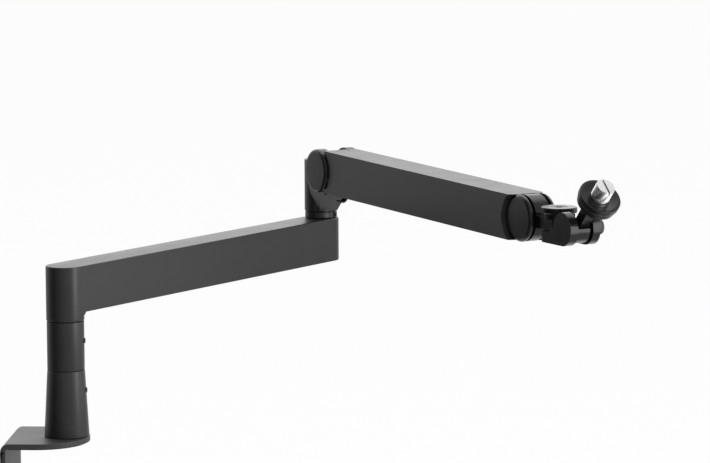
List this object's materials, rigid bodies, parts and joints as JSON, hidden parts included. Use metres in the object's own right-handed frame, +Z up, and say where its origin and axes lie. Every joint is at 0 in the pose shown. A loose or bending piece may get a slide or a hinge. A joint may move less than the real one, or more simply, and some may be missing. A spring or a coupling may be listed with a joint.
{
  "type": "microphone boom arm",
  "caption": "Low-profile desk microphone arm: clamp, riser, swinging flat lower arm, self-levelling tilting upper arm and a tilting threaded head.",
  "frame": {"origin": "on the riser's axis, at the desk-top level, which is the underside of the liner under the clamp plate", "axes": "+X across the desk away from the clamp's flange, +Y along the desk edge away from the viewer, +Z up along the riser"},
  "size_m": [0.515, 0.4178, 0.3511],
  "materials": {
    "coated_aluminium": "matte black powder coat",
    "coated_steel": "matte black powder coat",
    "black_plastic": "fine satin",
    "rubber": "matte",
    "steel": "bright zinc",
    "black_steel": "black oxide",
    "frame_steel": "pressed steel, black zinc",
    "bearing_plastic": "moulded acetal",
    "spring_steel": "oiled spring steel"
  },
  "bodies": {
    "base": {"base_plate": "coated_steel", "desk_liner": "rubber", "clamp_jaw": "coated_steel", "flange_screws": "black_steel", "clamp_bush": "steel", "riser_foot": "coated_aluminium", "foot_bolts": "black_steel", "foot_grub": "black_steel", "riser_tube": "coated_aluminium", "riser_grub": "black_steel", "pivot_post": "steel", "hub_washer": "bearing_plastic"},
    "clamp_pad": {"pressure_pad": "black_steel", "pad_liner": "rubber"},
    "clamp_screw": {"clamp_spindle": "steel", "clamp_knob": "black_plastic"},
    "lower_arm": {"lower_arm": "coated_aluminium", "hub_bush": "bearing_plastic", "elbow_bush": "bearing_plastic"},
    "lower_cover": {"lower_cover": "black_plastic"},
    "elbow": {"elbow_bracket": "coated_aluminium", "elbow_stem": "steel", "stem_washer": "steel", "stem_screw": "black_steel", "elbow_collar": "black_plastic", "collar_screw": "black_steel", "tilt_pin": "steel", "rear_link_pin": "steel", "spring_sleeve": "bearing_plastic", "elbow_caps": "black_plastic"},
    "upper_arm": {"arm_frame": "frame_steel", "upper_shell": "coated_aluminium", "shell_screws": "black_steel", "balance_spring": "spring_steel", "cable_clip": "black_plastic"},
    "upper_cover": {"upper_cover": "black_plastic"},
    "level_link": {"level_link": "frame_steel"},
    "front_bracket": {"front_bracket": "coated_aluminium", "front_pin": "steel", "front_link_pin": "steel", "front_caps": "black_plastic"},
    "head": {"head_block": "coated_aluminium", "swivel_bolt": "black_steel", "swivel_nut": "black_steel", "swivel_washers": "bearing_plastic", "tilt_washer": "rubber"},
    "mic_yoke": {"mic_yoke": "coated_aluminium", "mic_stud": "steel", "ring_washer": "rubber"},
    "lock_ring": {"lock_ring": "coated_aluminium"},
    "tilt_knob": {"tilt_knob": "black_plastic", "tilt_screw": "black_steel"}
  },
  "joints": [
    {"name": "pad_slide", "type": "slide", "parent": "base", "child": "clamp_pad", "axis": [0, 0, 1], "range_m": [-0.025, 0.022]},
    {"name": "clamp_screw_turn", "type": "hinge", "parent": "clamp_pad", "child": "clamp_screw", "pos_m": [-0.015, 0, -0.075], "axis": [0, 0, 1], "range_deg": [-6010, 5290]},
    {"name": "arm_swivel", "type": "hinge", "parent": "base", "child": "lower_arm", "pos_m": [0, 0, 0.1093], "axis": [0, 0, 1], "range_deg": [-180, 180]},
    {"name": "lower_cover_pull", "type": "slide", "parent": "lower_arm", "child": "lower_cover", "axis": [0, 0, -1], "range_m": [0, 0.03]},
    {"name": "elbow_swivel", "type": "hinge", "parent": "lower_arm", "child": "elbow", "pos_m": [0.18763, 0.32238, 0.1478], "axis": [0, 0, 1], "range_deg": [-180, 180]},
    {"name": "arm_tilt", "type": "hinge", "parent": "elbow", "child": "upper_arm", "pos_m": [0.2016, 0.30045, 0.1933], "axis": [-0.8434, -0.5373, 0], "range_deg": [-25, 80]},
    {"name": "link_tilt", "type": "hinge", "parent": "elbow", "child": "level_link", "pos_m": [0.20487, 0.2953, 0.1815], "axis": [-0.8434, -0.5373, 0], "range_deg": [-25, 80]},
    {"name": "upper_cover_pull", "type": "slide", "parent": "upper_arm", "child": "upper_cover", "axis": [-0.0094, 0.0147, -0.9998], "range_m": [0, 0.03]},
    {"name": "front_level", "type": "hinge", "parent": "upper_arm", "child": "front_bracket", "pos_m": [0.38479, 0.01289, 0.18735], "axis": [-0.8434, -0.5373, 0], "range_deg": [-80, 25]},
    {"name": "head_swivel", "type": "hinge", "parent": "front_bracket", "child": "head", "pos_m": [0.40778, -0.0232, 0.18615], "axis": [0, 0, 1], "range_deg": [-90, 90]},
    {"name": "head_tilt", "type": "hinge", "parent": "head", "child": "mic_yoke", "pos_m": [0.42251, -0.04631, 0.18615], "axis": [-0.8434, -0.5373, 0], "range_deg": [-130, 40]},
    {"name": "tilt_knob_turn", "type": "hinge", "parent": "head", "child": "tilt_knob", "pos_m": [0.43937, -0.03557, 0.18615], "axis": [0.8434, 0.5373, 0], "range_deg": [0, 720]},
    {"name": "lock_ring_turn", "type": "hinge", "parent": "mic_yoke", "child": "lock_ring", "pos_m": [0.43814, -0.06061, 0.20809], "axis": [0.3664, -0.5752, 0.7314], "range_deg": [0, 720]}
  ],
  "couplings": [
    {"joint": "clamp_screw_turn", "follows": "pad_slide", "rad_per_m": 4189.4},
    {"joint": "link_tilt", "follows": "arm_tilt", "ratio": 1},
    {"joint": "front_level", "follows": "arm_tilt", "ratio": -1}
  ]
}
